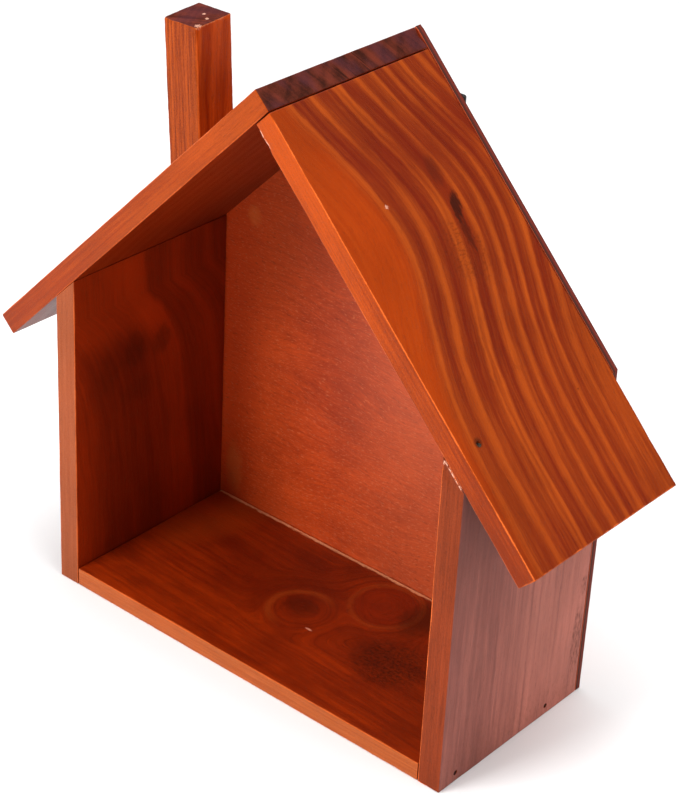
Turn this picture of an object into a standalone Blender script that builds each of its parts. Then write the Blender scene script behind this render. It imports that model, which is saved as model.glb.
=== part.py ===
"""Open-fronted wooden birdhouse with a steep gable roof and a small chimney post.

Two side walls stand outside a floor board. Two roof boards meet at the ridge, where the left one laps
over the end of the right one. A thin plywood panel closes the back. Brads hold everything together, and
a sawtooth hanger is nailed to the back just under the ridge.

Metres, +Z up, front towards -Y, origin at the middle of the resting face.
"""

import math
from collections import namedtuple

import bmesh
import bpy
from mathutils import Vector

# ---- Driving sizes ---------------------------------------------------------------------------------

BODY_WIDTH = 0.200  # over the outer faces of the side walls
BOARD_DEPTH = 0.085  # front to back, every solid board
RIDGE_HEIGHT = 0.246
ROOF_SLOPE = math.radians(46)

WALL_THICKNESS = 0.010
FLOOR_THICKNESS = 0.008
ROOF_THICKNESS = 0.009
PANEL_THICKNESS = 0.003
LEFT_ROOF_LENGTH = 0.190  # eave to ridge, along the outer face
RIGHT_ROOF_LENGTH = 0.181  # eave to the left board's end grain, along the outer face

CHIMNEY_WIDTH = 0.0165
CHIMNEY_DEPTH = 0.0188
CHIMNEY_HEIGHT = 0.0648  # along its own middle line, from the roof to its top
CHIMNEY_FROM_RIDGE = 0.0938
CHIMNEY_LEAN_FORWARD = math.radians(3.0)
CHIMNEY_LEAN_LEFT = math.radians(0.7)

# Where the nails go in
FLOOR_BRAD_FROM_FRONT = 0.0095
FLOOR_BRAD_FROM_REAR = 0.020
ROOF_BRAD_FROM_FRONT = 0.0088
ROOF_BRAD_FROM_REAR = 0.020
ROOF_BRAD_FROM_WALL_FACE = 0.0022
ROOF_BRAD_TILT = math.radians(9)  # off vertical, so that the point ends in the middle of the wall
RIDGE_BRAD_FROM_END = 0.012
PANEL_FLOOR_BRAD_SPREAD = 0.090
PANEL_BRAD_OVER_FLOOR = 0.020
PANEL_BRAD_UNDER_WALL_TOP = 0.034
PANEL_BRAD_DOWN_ROOF = 0.075
CHIMNEY_BRAD_SPREAD = 0.009
CHIMNEY_BRAD_UPHILL = 0.0035

HANGER_WIDTH = 0.0446
HANGER_HEIGHT = 0.0092
HANGER_SHEET = 0.0008
HANGER_TAB = 0.0070  # flat length at each end, with the nail hole in it
HANGER_STEP = 0.0016  # how far the middle stands off the tabs
HANGER_TEETH = 11
HANGER_TOOTH_PITCH = 0.0022
HANGER_TOOTH_HEIGHT = 0.0018
HANGER_NAIL_FROM_END = 0.0033

Nail = namedtuple("Nail", "length radius head_radius head_thickness point")
BRAD = Nail(length=0.025, radius=0.0006, head_radius=0.0009, head_thickness=0.0005, point=0.0015)
CHIMNEY_BRAD = BRAD._replace(length=0.018)
PANEL_BRAD = BRAD._replace(length=0.014)
HANGER_NAIL = Nail(length=0.012, radius=0.0006, head_radius=0.0016, head_thickness=0.0007, point=0.0015)

# ---- Clearances and fineness -----------------------------------------------------------------------

JOINT_GAP = 0.0003  # between faces that meet
BORE_CLEARANCE = 0.0003  # around every nail, and past its point
BRAD_SINK = 0.0005  # brad heads are punched this far under the surface
CUT_MARGIN = 0.002  # how far a cutter reaches outside the wood
EASED_EDGE = 0.0006
EASED_EDGE_SEGMENTS = 2
ROUND_STEPS = 12
WELD_DISTANCE = 0.00001

# ---- Places that follow from the sizes -------------------------------------------------------------

HALF_WIDTH = BODY_WIDTH / 2
WALL_MIDDLE = HALF_WIDTH - WALL_THICKNESS / 2
FLOOR_MIDDLE = FLOOR_THICKNESS / 2

TOTAL_DEPTH = BOARD_DEPTH + JOINT_GAP + PANEL_THICKNESS
FRONT = -TOTAL_DEPTH / 2
BOARD_REAR = FRONT + BOARD_DEPTH
PANEL_FRONT = BOARD_REAR + JOINT_GAP
PANEL_REAR = PANEL_FRONT + PANEL_THICKNESS

# Directions in the gable's plane, as (x, z): down each slope, and out of each outer face
LEFT_DOWN = Vector((-math.cos(ROOF_SLOPE), -math.sin(ROOF_SLOPE)))
RIGHT_DOWN = Vector((math.cos(ROOF_SLOPE), -math.sin(ROOF_SLOPE)))
LEFT_OUT = Vector((-math.sin(ROOF_SLOPE), math.cos(ROOF_SLOPE)))
RIGHT_OUT = Vector((math.sin(ROOF_SLOPE), math.cos(ROOF_SLOPE)))

# Each line below is a point on it, with the slope's own direction: outer faces, middles, and the
# seats just under the boards, where the pieces that carry them end.
RIDGE = Vector((0.0, RIDGE_HEIGHT))
LAP_CORNER = RIDGE - LEFT_OUT * ROOF_THICKNESS
LEFT_SEAT = LAP_CORNER - LEFT_OUT * JOINT_GAP
RIGHT_MIDDLE = LAP_CORNER - RIGHT_OUT * (ROOF_THICKNESS / 2)
RIGHT_INNER = LAP_CORNER - RIGHT_OUT * ROOF_THICKNESS
RIGHT_SEAT = RIGHT_INNER - RIGHT_OUT * JOINT_GAP


def crossing(start_a, direction_a, start_b, direction_b):
    """Where two lines in the gable's plane cross."""
    along = (start_b - start_a).cross(direction_b) / direction_a.cross(direction_b)
    return start_a + direction_a * along


def at_x(x, start, direction):
    """The point of a line in the gable's plane that has this x."""
    return crossing(start, direction, Vector((x, 0.0)), Vector((0.0, 1.0)))


def in_space(point, y):
    return Vector((point.x, y, point.y))


# ---- Scene and collections -------------------------------------------------------------------------

for old in list(bpy.data.objects):
    bpy.data.objects.remove(old)

birdhouse = bpy.data.collections.new("birdhouse")
cutters = bpy.data.collections.new("cutters")
bpy.context.scene.collection.children.link(birdhouse)
bpy.context.scene.collection.children.link(cutters)

# ---- Finishes --------------------------------------------------------------------------------------

ORANGE_STAIN = (0.45, 0.095, 0.018)
RED_STAIN = (0.33, 0.055, 0.014)
BROWN_STAIN = (0.22, 0.060, 0.035)
PLYWOOD_STAIN = (0.36, 0.065, 0.022)
BRIGHT_STEEL = (0.42, 0.41, 0.39)
BLACK_PAINT = (0.012, 0.012, 0.012)


def give_finish(piece, colour, roughness, metallic=0.0):
    """One Principled material of the piece's own."""
    material = bpy.data.materials.new(piece.name + "_finish")
    material.use_nodes = True
    shader = material.node_tree.nodes["Principled BSDF"]
    shader.inputs["Base Color"].default_value = (*colour, 1.0)
    shader.inputs["Roughness"].default_value = roughness
    shader.inputs["Metallic"].default_value = metallic
    piece.data.materials.clear()
    piece.data.materials.append(material)


# ---- Making solids ---------------------------------------------------------------------------------


def add_object(name, data, collection):
    piece = bpy.data.objects.new(name, data)
    collection.objects.link(piece)
    return piece


def as_cutter(piece):
    piece.hide_render = True
    piece.display_type = "WIRE"
    return piece


def make_box(name, low, high, collection):
    """A box from its lowest to its highest corner, with its scale applied."""
    low = Vector(low)
    high = Vector(high)
    cage = bmesh.new()
    bmesh.ops.create_cube(cage, size=1.0)
    bmesh.ops.scale(cage, vec=high - low, verts=cage.verts)
    mesh = bpy.data.meshes.new(name)
    cage.to_mesh(mesh)
    cage.free()
    piece = add_object(name, mesh, collection)
    piece.location = (low + high) / 2
    return piece


def make_outline(name, points, thickness, collection):
    """A flat outline in local X and Y with its thickness along local Z, as a closed mesh."""
    curve = bpy.data.curves.new(name, "CURVE")
    curve.dimensions = "2D"
    curve.fill_mode = "BOTH"
    curve.extrude = thickness / 2
    spline = curve.splines.new("POLY")
    spline.points.add(len(points) - 1)
    for slot, (x, y) in zip(spline.points, points):
        slot.co = (x, y, 0.0, 1.0)
    spline.use_cyclic_u = True
    drawn = add_object(name + "_outline", curve, collection)
    graph = bpy.context.evaluated_depsgraph_get()
    mesh = bpy.data.meshes.new_from_object(drawn.evaluated_get(graph))
    mesh.name = name
    welded = bmesh.new()
    welded.from_mesh(mesh)
    bmesh.ops.remove_doubles(welded, verts=welded.verts, dist=WELD_DISTANCE)
    welded.to_mesh(mesh)
    welded.free()
    piece = add_object(name, mesh, collection)
    piece.matrix_world = drawn.matrix_world
    bpy.data.objects.remove(drawn)
    bpy.data.curves.remove(curve)
    return piece


def make_gable_shape(name, points, front, rear, collection):
    """An outline of (x, z) corners, filled from y = front to y = rear."""
    piece = make_outline(name, points, rear - front, collection)
    piece.rotation_euler = (math.radians(90), 0.0, 0.0)
    piece.location = (0.0, (front + rear) / 2, 0.0)
    return piece


def make_turned(name, profile, collection):
    """A profile of (radius, z) points, top to bottom, turned about local Z."""
    mesh = bpy.data.meshes.new(name)
    corners = [(radius, 0.0, z) for radius, z in profile]
    edges = [(i, i + 1) for i in range(len(corners) - 1)]
    mesh.from_pydata(corners, edges, [])
    piece = add_object(name, mesh, collection)
    turn = piece.modifiers.new("turn", "SCREW")
    turn.angle = math.radians(360)
    turn.steps = ROUND_STEPS
    turn.render_steps = ROUND_STEPS
    turn.use_merge_vertices = True
    turn.merge_threshold = WELD_DISTANCE
    turn.use_smooth_shade = True
    return piece


def ease_edges(piece):
    ease = piece.modifiers.new("eased_edges", "BEVEL")
    ease.width = EASED_EDGE
    ease.segments = EASED_EDGE_SEGMENTS
    ease.limit_method = "ANGLE"


def cut(piece, cutter):
    notch = piece.modifiers.new(cutter.name, "BOOLEAN")
    notch.operation = "DIFFERENCE"
    notch.solver = "EXACT"
    notch.object = cutter


# ---- Boards ----------------------------------------------------------------------------------------


def make_left_roof_board():
    """Square at both ends: its upper end grain is the dark band along the ridge."""
    eave = RIDGE + LEFT_DOWN * LEFT_ROOF_LENGTH
    corners = [RIDGE, eave, eave - LEFT_OUT * ROOF_THICKNESS, LAP_CORNER]
    board = make_gable_shape("left_roof_board", corners, FRONT, BOARD_REAR, birdhouse)
    ease_edges(board)
    give_finish(board, ORANGE_STAIN, 0.45)
    return board


def make_right_roof_board():
    """Its upper end lies flat against the underside of the left board."""
    eave = LAP_CORNER + RIGHT_DOWN * RIGHT_ROOF_LENGTH
    corners = [
        crossing(LEFT_SEAT, LEFT_DOWN, LAP_CORNER, RIGHT_DOWN),
        crossing(LEFT_SEAT, LEFT_DOWN, RIGHT_INNER, RIGHT_DOWN),
        eave - RIGHT_OUT * ROOF_THICKNESS,
        eave,
    ]
    board = make_gable_shape("right_roof_board", corners, FRONT, BOARD_REAR, birdhouse)
    ease_edges(board)
    give_finish(board, ORANGE_STAIN, 0.40)
    return board


def make_side_wall(name, outer, inner, seat, down):
    """Its top is bevelled to lie under the roof board."""
    corners = [Vector((outer, 0.0)), Vector((inner, 0.0)), at_x(inner, seat, down), at_x(outer, seat, down)]
    wall = make_gable_shape(name, corners, FRONT, BOARD_REAR, birdhouse)
    ease_edges(wall)
    give_finish(wall, BROWN_STAIN, 0.55)
    return wall


def make_floor_board():
    half_length = HALF_WIDTH - WALL_THICKNESS - JOINT_GAP
    floor = make_box(
        "floor_board",
        (-half_length, FRONT, 0.0),
        (half_length, BOARD_REAR, FLOOR_THICKNESS),
        birdhouse,
    )
    ease_edges(floor)
    give_finish(floor, RED_STAIN, 0.40)
    return floor


def make_back_panel():
    """A five-sided sheet that also covers the rear edges of the roof boards, flush with their outer faces."""
    corners = [
        Vector((-HALF_WIDTH, 0.0)),
        Vector((HALF_WIDTH, 0.0)),
        at_x(HALF_WIDTH, LAP_CORNER, RIGHT_DOWN),
        RIDGE,
        at_x(-HALF_WIDTH, RIDGE, LEFT_DOWN),
    ]
    panel = make_gable_shape("back_panel", corners, PANEL_FRONT, PANEL_REAR, birdhouse)
    give_finish(panel, PLYWOOD_STAIN, 0.45)
    return panel


def make_chimney_post():
    """A square-sawn post with its foot cut to the roof's slope, leaning a little as it was nailed on."""
    foot = RIDGE + LEFT_DOWN * CHIMNEY_FROM_RIDGE
    post = make_box(
        "chimney_post",
        (-CHIMNEY_WIDTH / 2, -CHIMNEY_DEPTH / 2, -CHIMNEY_WIDTH),
        (CHIMNEY_WIDTH / 2, CHIMNEY_DEPTH / 2, CHIMNEY_HEIGHT),
        birdhouse,
    )
    middle = Vector(post.location)
    for vertex in post.data.vertices:
        vertex.co += middle
    post.location = in_space(foot, 0.0)
    post.rotation_euler = (CHIMNEY_LEAN_FORWARD, -CHIMNEY_LEAN_LEFT, 0.0)
    ease_edges(post)

    seat = foot + LEFT_OUT * JOINT_GAP
    reach = 2 * CHIMNEY_WIDTH
    high = seat - LEFT_DOWN * reach
    low = seat + LEFT_DOWN * reach
    under = LEFT_OUT * reach
    foot_cutter = make_gable_shape(
        "chimney_foot_cutter", [high, low, low - under, high - under], FRONT, BOARD_REAR, cutters
    )
    cut(post, as_cutter(foot_cutter))
    give_finish(post, ORANGE_STAIN, 0.50)
    return post


# ---- Hanger ----------------------------------------------------------------------------------------

HANGER_NAIL_X = HANGER_WIDTH / 2 - HANGER_NAIL_FROM_END
HANGER_MIDDLE = at_x(HANGER_NAIL_X, RIGHT_MIDDLE, RIGHT_DOWN).y  # its nails end in the roof boards
HANGER_FRONT = PANEL_REAR + JOINT_GAP
HANGER_TAB_REAR = HANGER_FRONT + HANGER_SHEET


def make_sawtooth_hanger():
    """A strip whose middle stands off the wood, with teeth along the lower edge of that middle."""
    bend = HANGER_WIDTH / 2 - HANGER_TAB
    front_side = [
        (HANGER_WIDTH / 2, HANGER_FRONT),
        (bend, HANGER_FRONT),
        (bend - HANGER_STEP, HANGER_FRONT + HANGER_STEP),
    ]
    bend_offset = HANGER_SHEET * math.tan(math.radians(22.5))  # keeps the sheet's thickness on the ramp
    rear_side = [
        (bend + bend_offset - HANGER_STEP, HANGER_TAB_REAR + HANGER_STEP),
        (bend + bend_offset, HANGER_TAB_REAR),
        (HANGER_WIDTH / 2, HANGER_TAB_REAR),
    ]
    right_half = front_side[::-1] + rear_side[::-1]
    left_half = [(-x, y) for x, y in right_half[::-1]]
    hanger = make_outline("sawtooth_hanger", right_half + left_half, HANGER_HEIGHT, birdhouse)
    hanger.location = (0.0, 0.0, HANGER_MIDDLE)

    lower_edge = HANGER_MIDDLE - HANGER_HEIGHT / 2
    first = -HANGER_TEETH * HANGER_TOOTH_PITCH / 2
    zigzag = [(first, lower_edge - CUT_MARGIN)]
    for tooth in range(HANGER_TEETH):
        start = first + tooth * HANGER_TOOTH_PITCH
        zigzag.append((start, lower_edge))
        zigzag.append((start + HANGER_TOOTH_PITCH / 2, lower_edge + HANGER_TOOTH_HEIGHT))
    zigzag.append((-first, lower_edge))
    zigzag.append((-first, lower_edge - CUT_MARGIN))
    rear = HANGER_TAB_REAR + HANGER_STEP + CUT_MARGIN
    teeth_cutter = make_gable_shape("hanger_teeth_cutter", zigzag, HANGER_FRONT, rear, cutters)
    cut(hanger, as_cutter(teeth_cutter))
    give_finish(hanger, BLACK_PAINT, 0.45)
    return hanger


# ---- Nails -----------------------------------------------------------------------------------------


def drive(name, nail, sink, entry, direction, wood, colour=BRIGHT_STEEL):
    """A nail, with its head's top at depth sink under the entry point, and its bore in each board."""
    turned_down = Vector((0.0, 0.0, -1.0)).rotation_difference(direction).to_euler()
    neck = -sink - nail.head_thickness
    tip = -sink - nail.length
    profile = [
        (0.0, -sink),
        (nail.head_radius, -sink),
        (nail.head_radius, neck),
        (nail.radius, neck),
        (nail.radius, tip + nail.point),
        (0.0, tip),
    ]
    shank_bore = nail.radius + BORE_CLEARANCE
    bore_profile = [
        (shank_bore, tip - BORE_CLEARANCE),
        (0.0, tip - BORE_CLEARANCE),
    ]
    if sink > 0.0:
        pocket = nail.head_radius + BORE_CLEARANCE
        pocket_floor = neck - BORE_CLEARANCE
        bore_profile = [(pocket, pocket_floor), (shank_bore, pocket_floor)] + bore_profile
    mouth = bore_profile[0][0]
    bore_profile = [(0.0, CUT_MARGIN), (mouth, CUT_MARGIN)] + bore_profile

    piece = make_turned(name, profile, birdhouse)
    bore = as_cutter(make_turned(name + "_bore", bore_profile, cutters))
    for turned in (piece, bore):
        turned.location = entry
        turned.rotation_euler = turned_down
    for board in wood:
        cut(board, bore)
    give_finish(piece, colour, 0.35, 1.0 if colour is BRIGHT_STEEL else 0.0)


def nail_floor(walls, floor):
    rows = {"front": FRONT + FLOOR_BRAD_FROM_FRONT, "rear": BOARD_REAR - FLOOR_BRAD_FROM_REAR}
    for side, sign in (("left", -1.0), ("right", 1.0)):
        for row, y in rows.items():
            drive(
                f"floor_brad_{side}_{row}",
                BRAD,
                BRAD_SINK,
                Vector((sign * HALF_WIDTH, y, FLOOR_MIDDLE)),
                Vector((-sign, 0.0, 0.0)),
                (walls[side], floor),
            )


def nail_roof_to_walls(walls, roof):
    rows = {"front": FRONT + ROOF_BRAD_FROM_FRONT, "rear": BOARD_REAR - ROOF_BRAD_FROM_REAR}
    entry_x = HALF_WIDTH - ROOF_BRAD_FROM_WALL_FACE
    entries = {"left": at_x(-entry_x, RIDGE, LEFT_DOWN), "right": at_x(entry_x, LAP_CORNER, RIGHT_DOWN)}
    for side, sign in (("left", -1.0), ("right", 1.0)):
        direction = Vector((-sign * math.sin(ROOF_BRAD_TILT), 0.0, -math.cos(ROOF_BRAD_TILT)))
        for row, y in rows.items():
            drive(
                f"roof_brad_{side}_{row}",
                BRAD,
                BRAD_SINK,
                in_space(entries[side], y),
                direction,
                (roof[side], walls[side]),
            )


def nail_ridge(roof):
    """Through the left board, along the middle of the right one."""
    entry = crossing(RIDGE, LEFT_DOWN, RIGHT_MIDDLE, RIGHT_DOWN)
    rows = {
        "front": FRONT + RIDGE_BRAD_FROM_END,
        "middle": (FRONT + BOARD_REAR) / 2,
        "rear": BOARD_REAR - RIDGE_BRAD_FROM_END,
    }
    for row, y in rows.items():
        drive(
            f"ridge_brad_{row}",
            BRAD,
            BRAD_SINK,
            in_space(entry, y),
            in_space(RIGHT_DOWN, 0.0),
            (roof["left"], roof["right"]),
        )


def nail_back_panel(panel, walls, floor, roof):
    low = FLOOR_THICKNESS + PANEL_BRAD_OVER_FLOOR
    left_high = at_x(-WALL_MIDDLE, LEFT_SEAT, LEFT_DOWN).y - PANEL_BRAD_UNDER_WALL_TOP
    right_high = at_x(WALL_MIDDLE, RIGHT_SEAT, RIGHT_DOWN).y - PANEL_BRAD_UNDER_WALL_TOP
    half_spread = PANEL_FLOOR_BRAD_SPREAD / 2
    places = {
        "wall_left_low": (Vector((-WALL_MIDDLE, low)), walls["left"]),
        "wall_left_high": (Vector((-WALL_MIDDLE, left_high)), walls["left"]),
        "wall_right_low": (Vector((WALL_MIDDLE, low)), walls["right"]),
        "wall_right_high": (Vector((WALL_MIDDLE, right_high)), walls["right"]),
        "floor_left": (Vector((-half_spread, FLOOR_MIDDLE)), floor),
        "floor_right": (Vector((half_spread, FLOOR_MIDDLE)), floor),
        "roof_left": (
            RIDGE + LEFT_DOWN * PANEL_BRAD_DOWN_ROOF - LEFT_OUT * (ROOF_THICKNESS / 2),
            roof["left"],
        ),
        "roof_right": (RIGHT_MIDDLE + RIGHT_DOWN * PANEL_BRAD_DOWN_ROOF, roof["right"]),
    }
    for place, (point, board) in places.items():
        drive(
            f"panel_brad_{place}",
            PANEL_BRAD,
            BRAD_SINK,
            in_space(point, PANEL_REAR),
            Vector((0.0, -1.0, 0.0)),
            (panel, board),
        )


def nail_chimney(post, roof):
    """From inside, up through the left roof board."""
    entry = LAP_CORNER + LEFT_DOWN * (CHIMNEY_FROM_RIDGE - CHIMNEY_BRAD_UPHILL)
    for row, y in (("front", -CHIMNEY_BRAD_SPREAD / 2), ("rear", CHIMNEY_BRAD_SPREAD / 2)):
        drive(
            f"chimney_brad_{row}",
            CHIMNEY_BRAD,
            BRAD_SINK,
            in_space(entry, y),
            in_space(LEFT_OUT, 0.0),
            (roof["left"], post),
        )


def nail_hanger(hanger, panel, roof):
    for side, sign in (("left", -1.0), ("right", 1.0)):
        drive(
            f"hanger_nail_{side}",
            HANGER_NAIL,
            -HANGER_NAIL.head_thickness - JOINT_GAP,
            Vector((sign * HANGER_NAIL_X, HANGER_TAB_REAR, HANGER_MIDDLE)),
            Vector((0.0, -1.0, 0.0)),
            (hanger, panel, roof[side]),
            BLACK_PAINT,
        )


# ---- The birdhouse ---------------------------------------------------------------------------------

roof_boards = {"left": make_left_roof_board(), "right": make_right_roof_board()}
inner_face = HALF_WIDTH - WALL_THICKNESS
side_walls = {
    "left": make_side_wall("left_side_wall", -HALF_WIDTH, -inner_face, LEFT_SEAT, LEFT_DOWN),
    "right": make_side_wall("right_side_wall", HALF_WIDTH, inner_face, RIGHT_SEAT, RIGHT_DOWN),
}
floor_board = make_floor_board()
back_panel = make_back_panel()
chimney_post = make_chimney_post()
sawtooth_hanger = make_sawtooth_hanger()

nail_floor(side_walls, floor_board)
nail_roof_to_walls(side_walls, roof_boards)
nail_ridge(roof_boards)
nail_back_panel(back_panel, side_walls, floor_board, roof_boards)
nail_chimney(chimney_post, roof_boards)
nail_hanger(sawtooth_hanger, back_panel, roof_boards)
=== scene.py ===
"""A stained pine birdhouse with a steep roof, a chimney post and a plywood back, in a small studio.

Metres, +Z up, front towards -Y. Wood patterns are worked out in each board's own millimetres.
"""

import math

import bmesh
import bpy
import numpy as np
from mathutils import Euler, Matrix, Vector, noise


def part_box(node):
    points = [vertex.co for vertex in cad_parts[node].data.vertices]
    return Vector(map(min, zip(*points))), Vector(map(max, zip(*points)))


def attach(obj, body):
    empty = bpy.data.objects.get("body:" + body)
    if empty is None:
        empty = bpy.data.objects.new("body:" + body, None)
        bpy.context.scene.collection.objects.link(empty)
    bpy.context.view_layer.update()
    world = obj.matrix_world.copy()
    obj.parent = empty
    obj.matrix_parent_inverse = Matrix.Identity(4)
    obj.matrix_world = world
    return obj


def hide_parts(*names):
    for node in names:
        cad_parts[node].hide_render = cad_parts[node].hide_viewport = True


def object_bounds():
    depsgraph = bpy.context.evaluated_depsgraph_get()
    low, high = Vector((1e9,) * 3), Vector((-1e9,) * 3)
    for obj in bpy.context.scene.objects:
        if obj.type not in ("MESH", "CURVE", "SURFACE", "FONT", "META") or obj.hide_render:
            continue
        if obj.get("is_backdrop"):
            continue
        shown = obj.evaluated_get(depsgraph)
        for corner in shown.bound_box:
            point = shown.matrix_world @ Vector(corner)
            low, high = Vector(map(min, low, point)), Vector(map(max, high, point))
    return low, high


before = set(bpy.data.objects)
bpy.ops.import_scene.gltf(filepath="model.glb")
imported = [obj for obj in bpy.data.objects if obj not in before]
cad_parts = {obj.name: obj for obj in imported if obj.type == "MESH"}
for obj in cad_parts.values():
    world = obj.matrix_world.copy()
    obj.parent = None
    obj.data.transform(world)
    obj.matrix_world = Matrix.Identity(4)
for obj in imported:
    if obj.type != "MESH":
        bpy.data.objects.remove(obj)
cad_low, cad_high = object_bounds()

# ---- Studio ----------------------------------------------------------------------------------------
# A pale table under a wide soft box, with a second soft box low at the front left and a weak one on the
# right. The room behind the lights is dim, so the varnish mirrors only the table.

TABLE_DROP = 0.0001
TABLE_REACH = 4.0


def in_scene(name, data):
    """A new object in the scene."""
    made = bpy.data.objects.new(name, data)
    bpy.context.scene.collection.objects.link(made)
    return made


table = in_scene("table", bpy.data.meshes.new("table"))
corner_signs = ((-1, -1), (1, -1), (1, 1), (-1, 1))
table_corners = [(x * TABLE_REACH, y * TABLE_REACH, -TABLE_DROP) for x, y in corner_signs]
table.data.from_pydata(table_corners, [], [(0, 1, 2, 3)])
table_paint = bpy.data.materials.new("pale_table")
table_paint.use_nodes = True
table_look = table_paint.node_tree.nodes["Principled BSDF"].inputs
table_look["Base Color"].default_value = (0.93, 0.93, 0.93, 1)
table_look["Roughness"].default_value = 0.9
table_look["Specular IOR Level"].default_value = 0.1
table.data.materials.append(table_paint)
table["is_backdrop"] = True


def hang_soft_box(name, place, aim, width, height, watts):
    lamp = bpy.data.lights.new(name, "AREA")
    lamp.shape = "RECTANGLE"
    lamp.size = width
    lamp.size_y = height
    lamp.energy = watts
    box = in_scene(name, lamp)
    box.location = place
    box.rotation_euler = (Vector(aim) - Vector(place)).to_track_quat("-Z", "Y").to_euler()


hang_soft_box("overhead_soft_box", (0.15, 0.15, 1.8), (0.0, 0.0, 0.0), 1.7, 1.7, 40)
hang_soft_box("front_left_soft_box", (-0.52, -1.33, 0.85), (0.0, 0.0, 0.1), 0.7, 0.7, 24)
hang_soft_box("right_fill_box", (1.7, -0.3, 0.6), (0.0, 0.0, 0.05), 1.2, 1.0, 13)

room = bpy.data.worlds.new("dim_room")
room.use_nodes = True
room_light = room.node_tree.nodes["Background"].inputs
room_light["Color"].default_value = (1.0, 1.0, 1.0, 1.0)
room_light["Strength"].default_value = 0.14
bpy.context.scene.world = room
bpy.context.scene.view_settings.view_transform = "Standard"

camera = in_scene("camera", bpy.data.cameras.new("camera"))
camera.data.lens = 104.84
camera.data.sensor_width = 36.0
camera.data.clip_start = 0.05
camera.data.clip_end = 20.0
CAMERA_PLACE = (0.48464, -0.58129, 0.54766)
CAMERA_TURN = math.radians(39.39)  # to the right of straight on, looking back at the front
CAMERA_DOWN = math.radians(30.13)
CAMERA_ROLL = math.radians(2.96)
camera.matrix_basis = (
    Matrix.Translation(CAMERA_PLACE)
    @ Matrix.Rotation(CAMERA_TURN, 4, "Z")
    @ Matrix.Rotation(math.radians(90) - CAMERA_DOWN, 4, "X")
    @ Matrix.Rotation(CAMERA_ROLL, 4, "Z")
)
bpy.context.scene.camera = camera

# ---- Right roof board ------------------------------------------------------------------------------
# A flat-sawn pine board, stained mahogany and varnished. Its growth rings bend round a small knot a
# third of the way down, and its upper end is butted under the left board.

ROOF_SLOPE = math.radians(46)
RIGHT_DOWN = Vector((math.cos(ROOF_SLOPE), 0.0, -math.sin(ROOF_SLOPE)))
RIGHT_OUT = Vector((math.sin(ROOF_SLOPE), 0.0, math.cos(ROOF_SLOPE)))
LEFT_DOWN = Vector((-math.cos(ROOF_SLOPE), 0.0, -math.sin(ROOF_SLOPE)))
LEFT_OUT = Vector((-math.sin(ROOF_SLOPE), 0.0, math.cos(ROOF_SLOPE)))
BACK = Vector((0.0, 1.0, 0.0))
UP = Vector((0.0, 0.0, 1.0))
ACROSS = Vector((1.0, 0.0, 0.0))
MM = 0.001


def span(node, axis):
    """How far a frame node reaches along an axis, lowest and highest."""
    reach = [axis.dot(v.co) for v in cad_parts[node].data.vertices]
    return min(reach), max(reach)


def board_box(node, axes):
    """The corner of a frame node, and its size along three axes of its own."""
    reach = [span(node, axis) for axis in axes]
    corner = sum((axis * low for axis, (low, _) in zip(axes, reach)), Vector())
    return corner, [high - low for low, high in reach]


def spaced(length, step):
    """Places along one side of a board, closer together at its eased ends."""
    corner = [c * MM for c in (0.0, 0.13, 0.3, 0.5, 0.75, 1.05, 1.5, 2.2) if c * MM < 0.3 * length]
    count = max(2, round((length - 2 * corner[-1]) / step))
    middle = [corner[-1] + (length - 2 * corner[-1]) * i / count for i in range(1, count)]
    return np.array(corner + middle + [length - c for c in reversed(corner)])


EDGE_REACH = 3.0 * MM
WAVE_RATE = 90.0  # how fast the easing of an arris varies, per metre
NICK_RATE = 420.0


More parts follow.
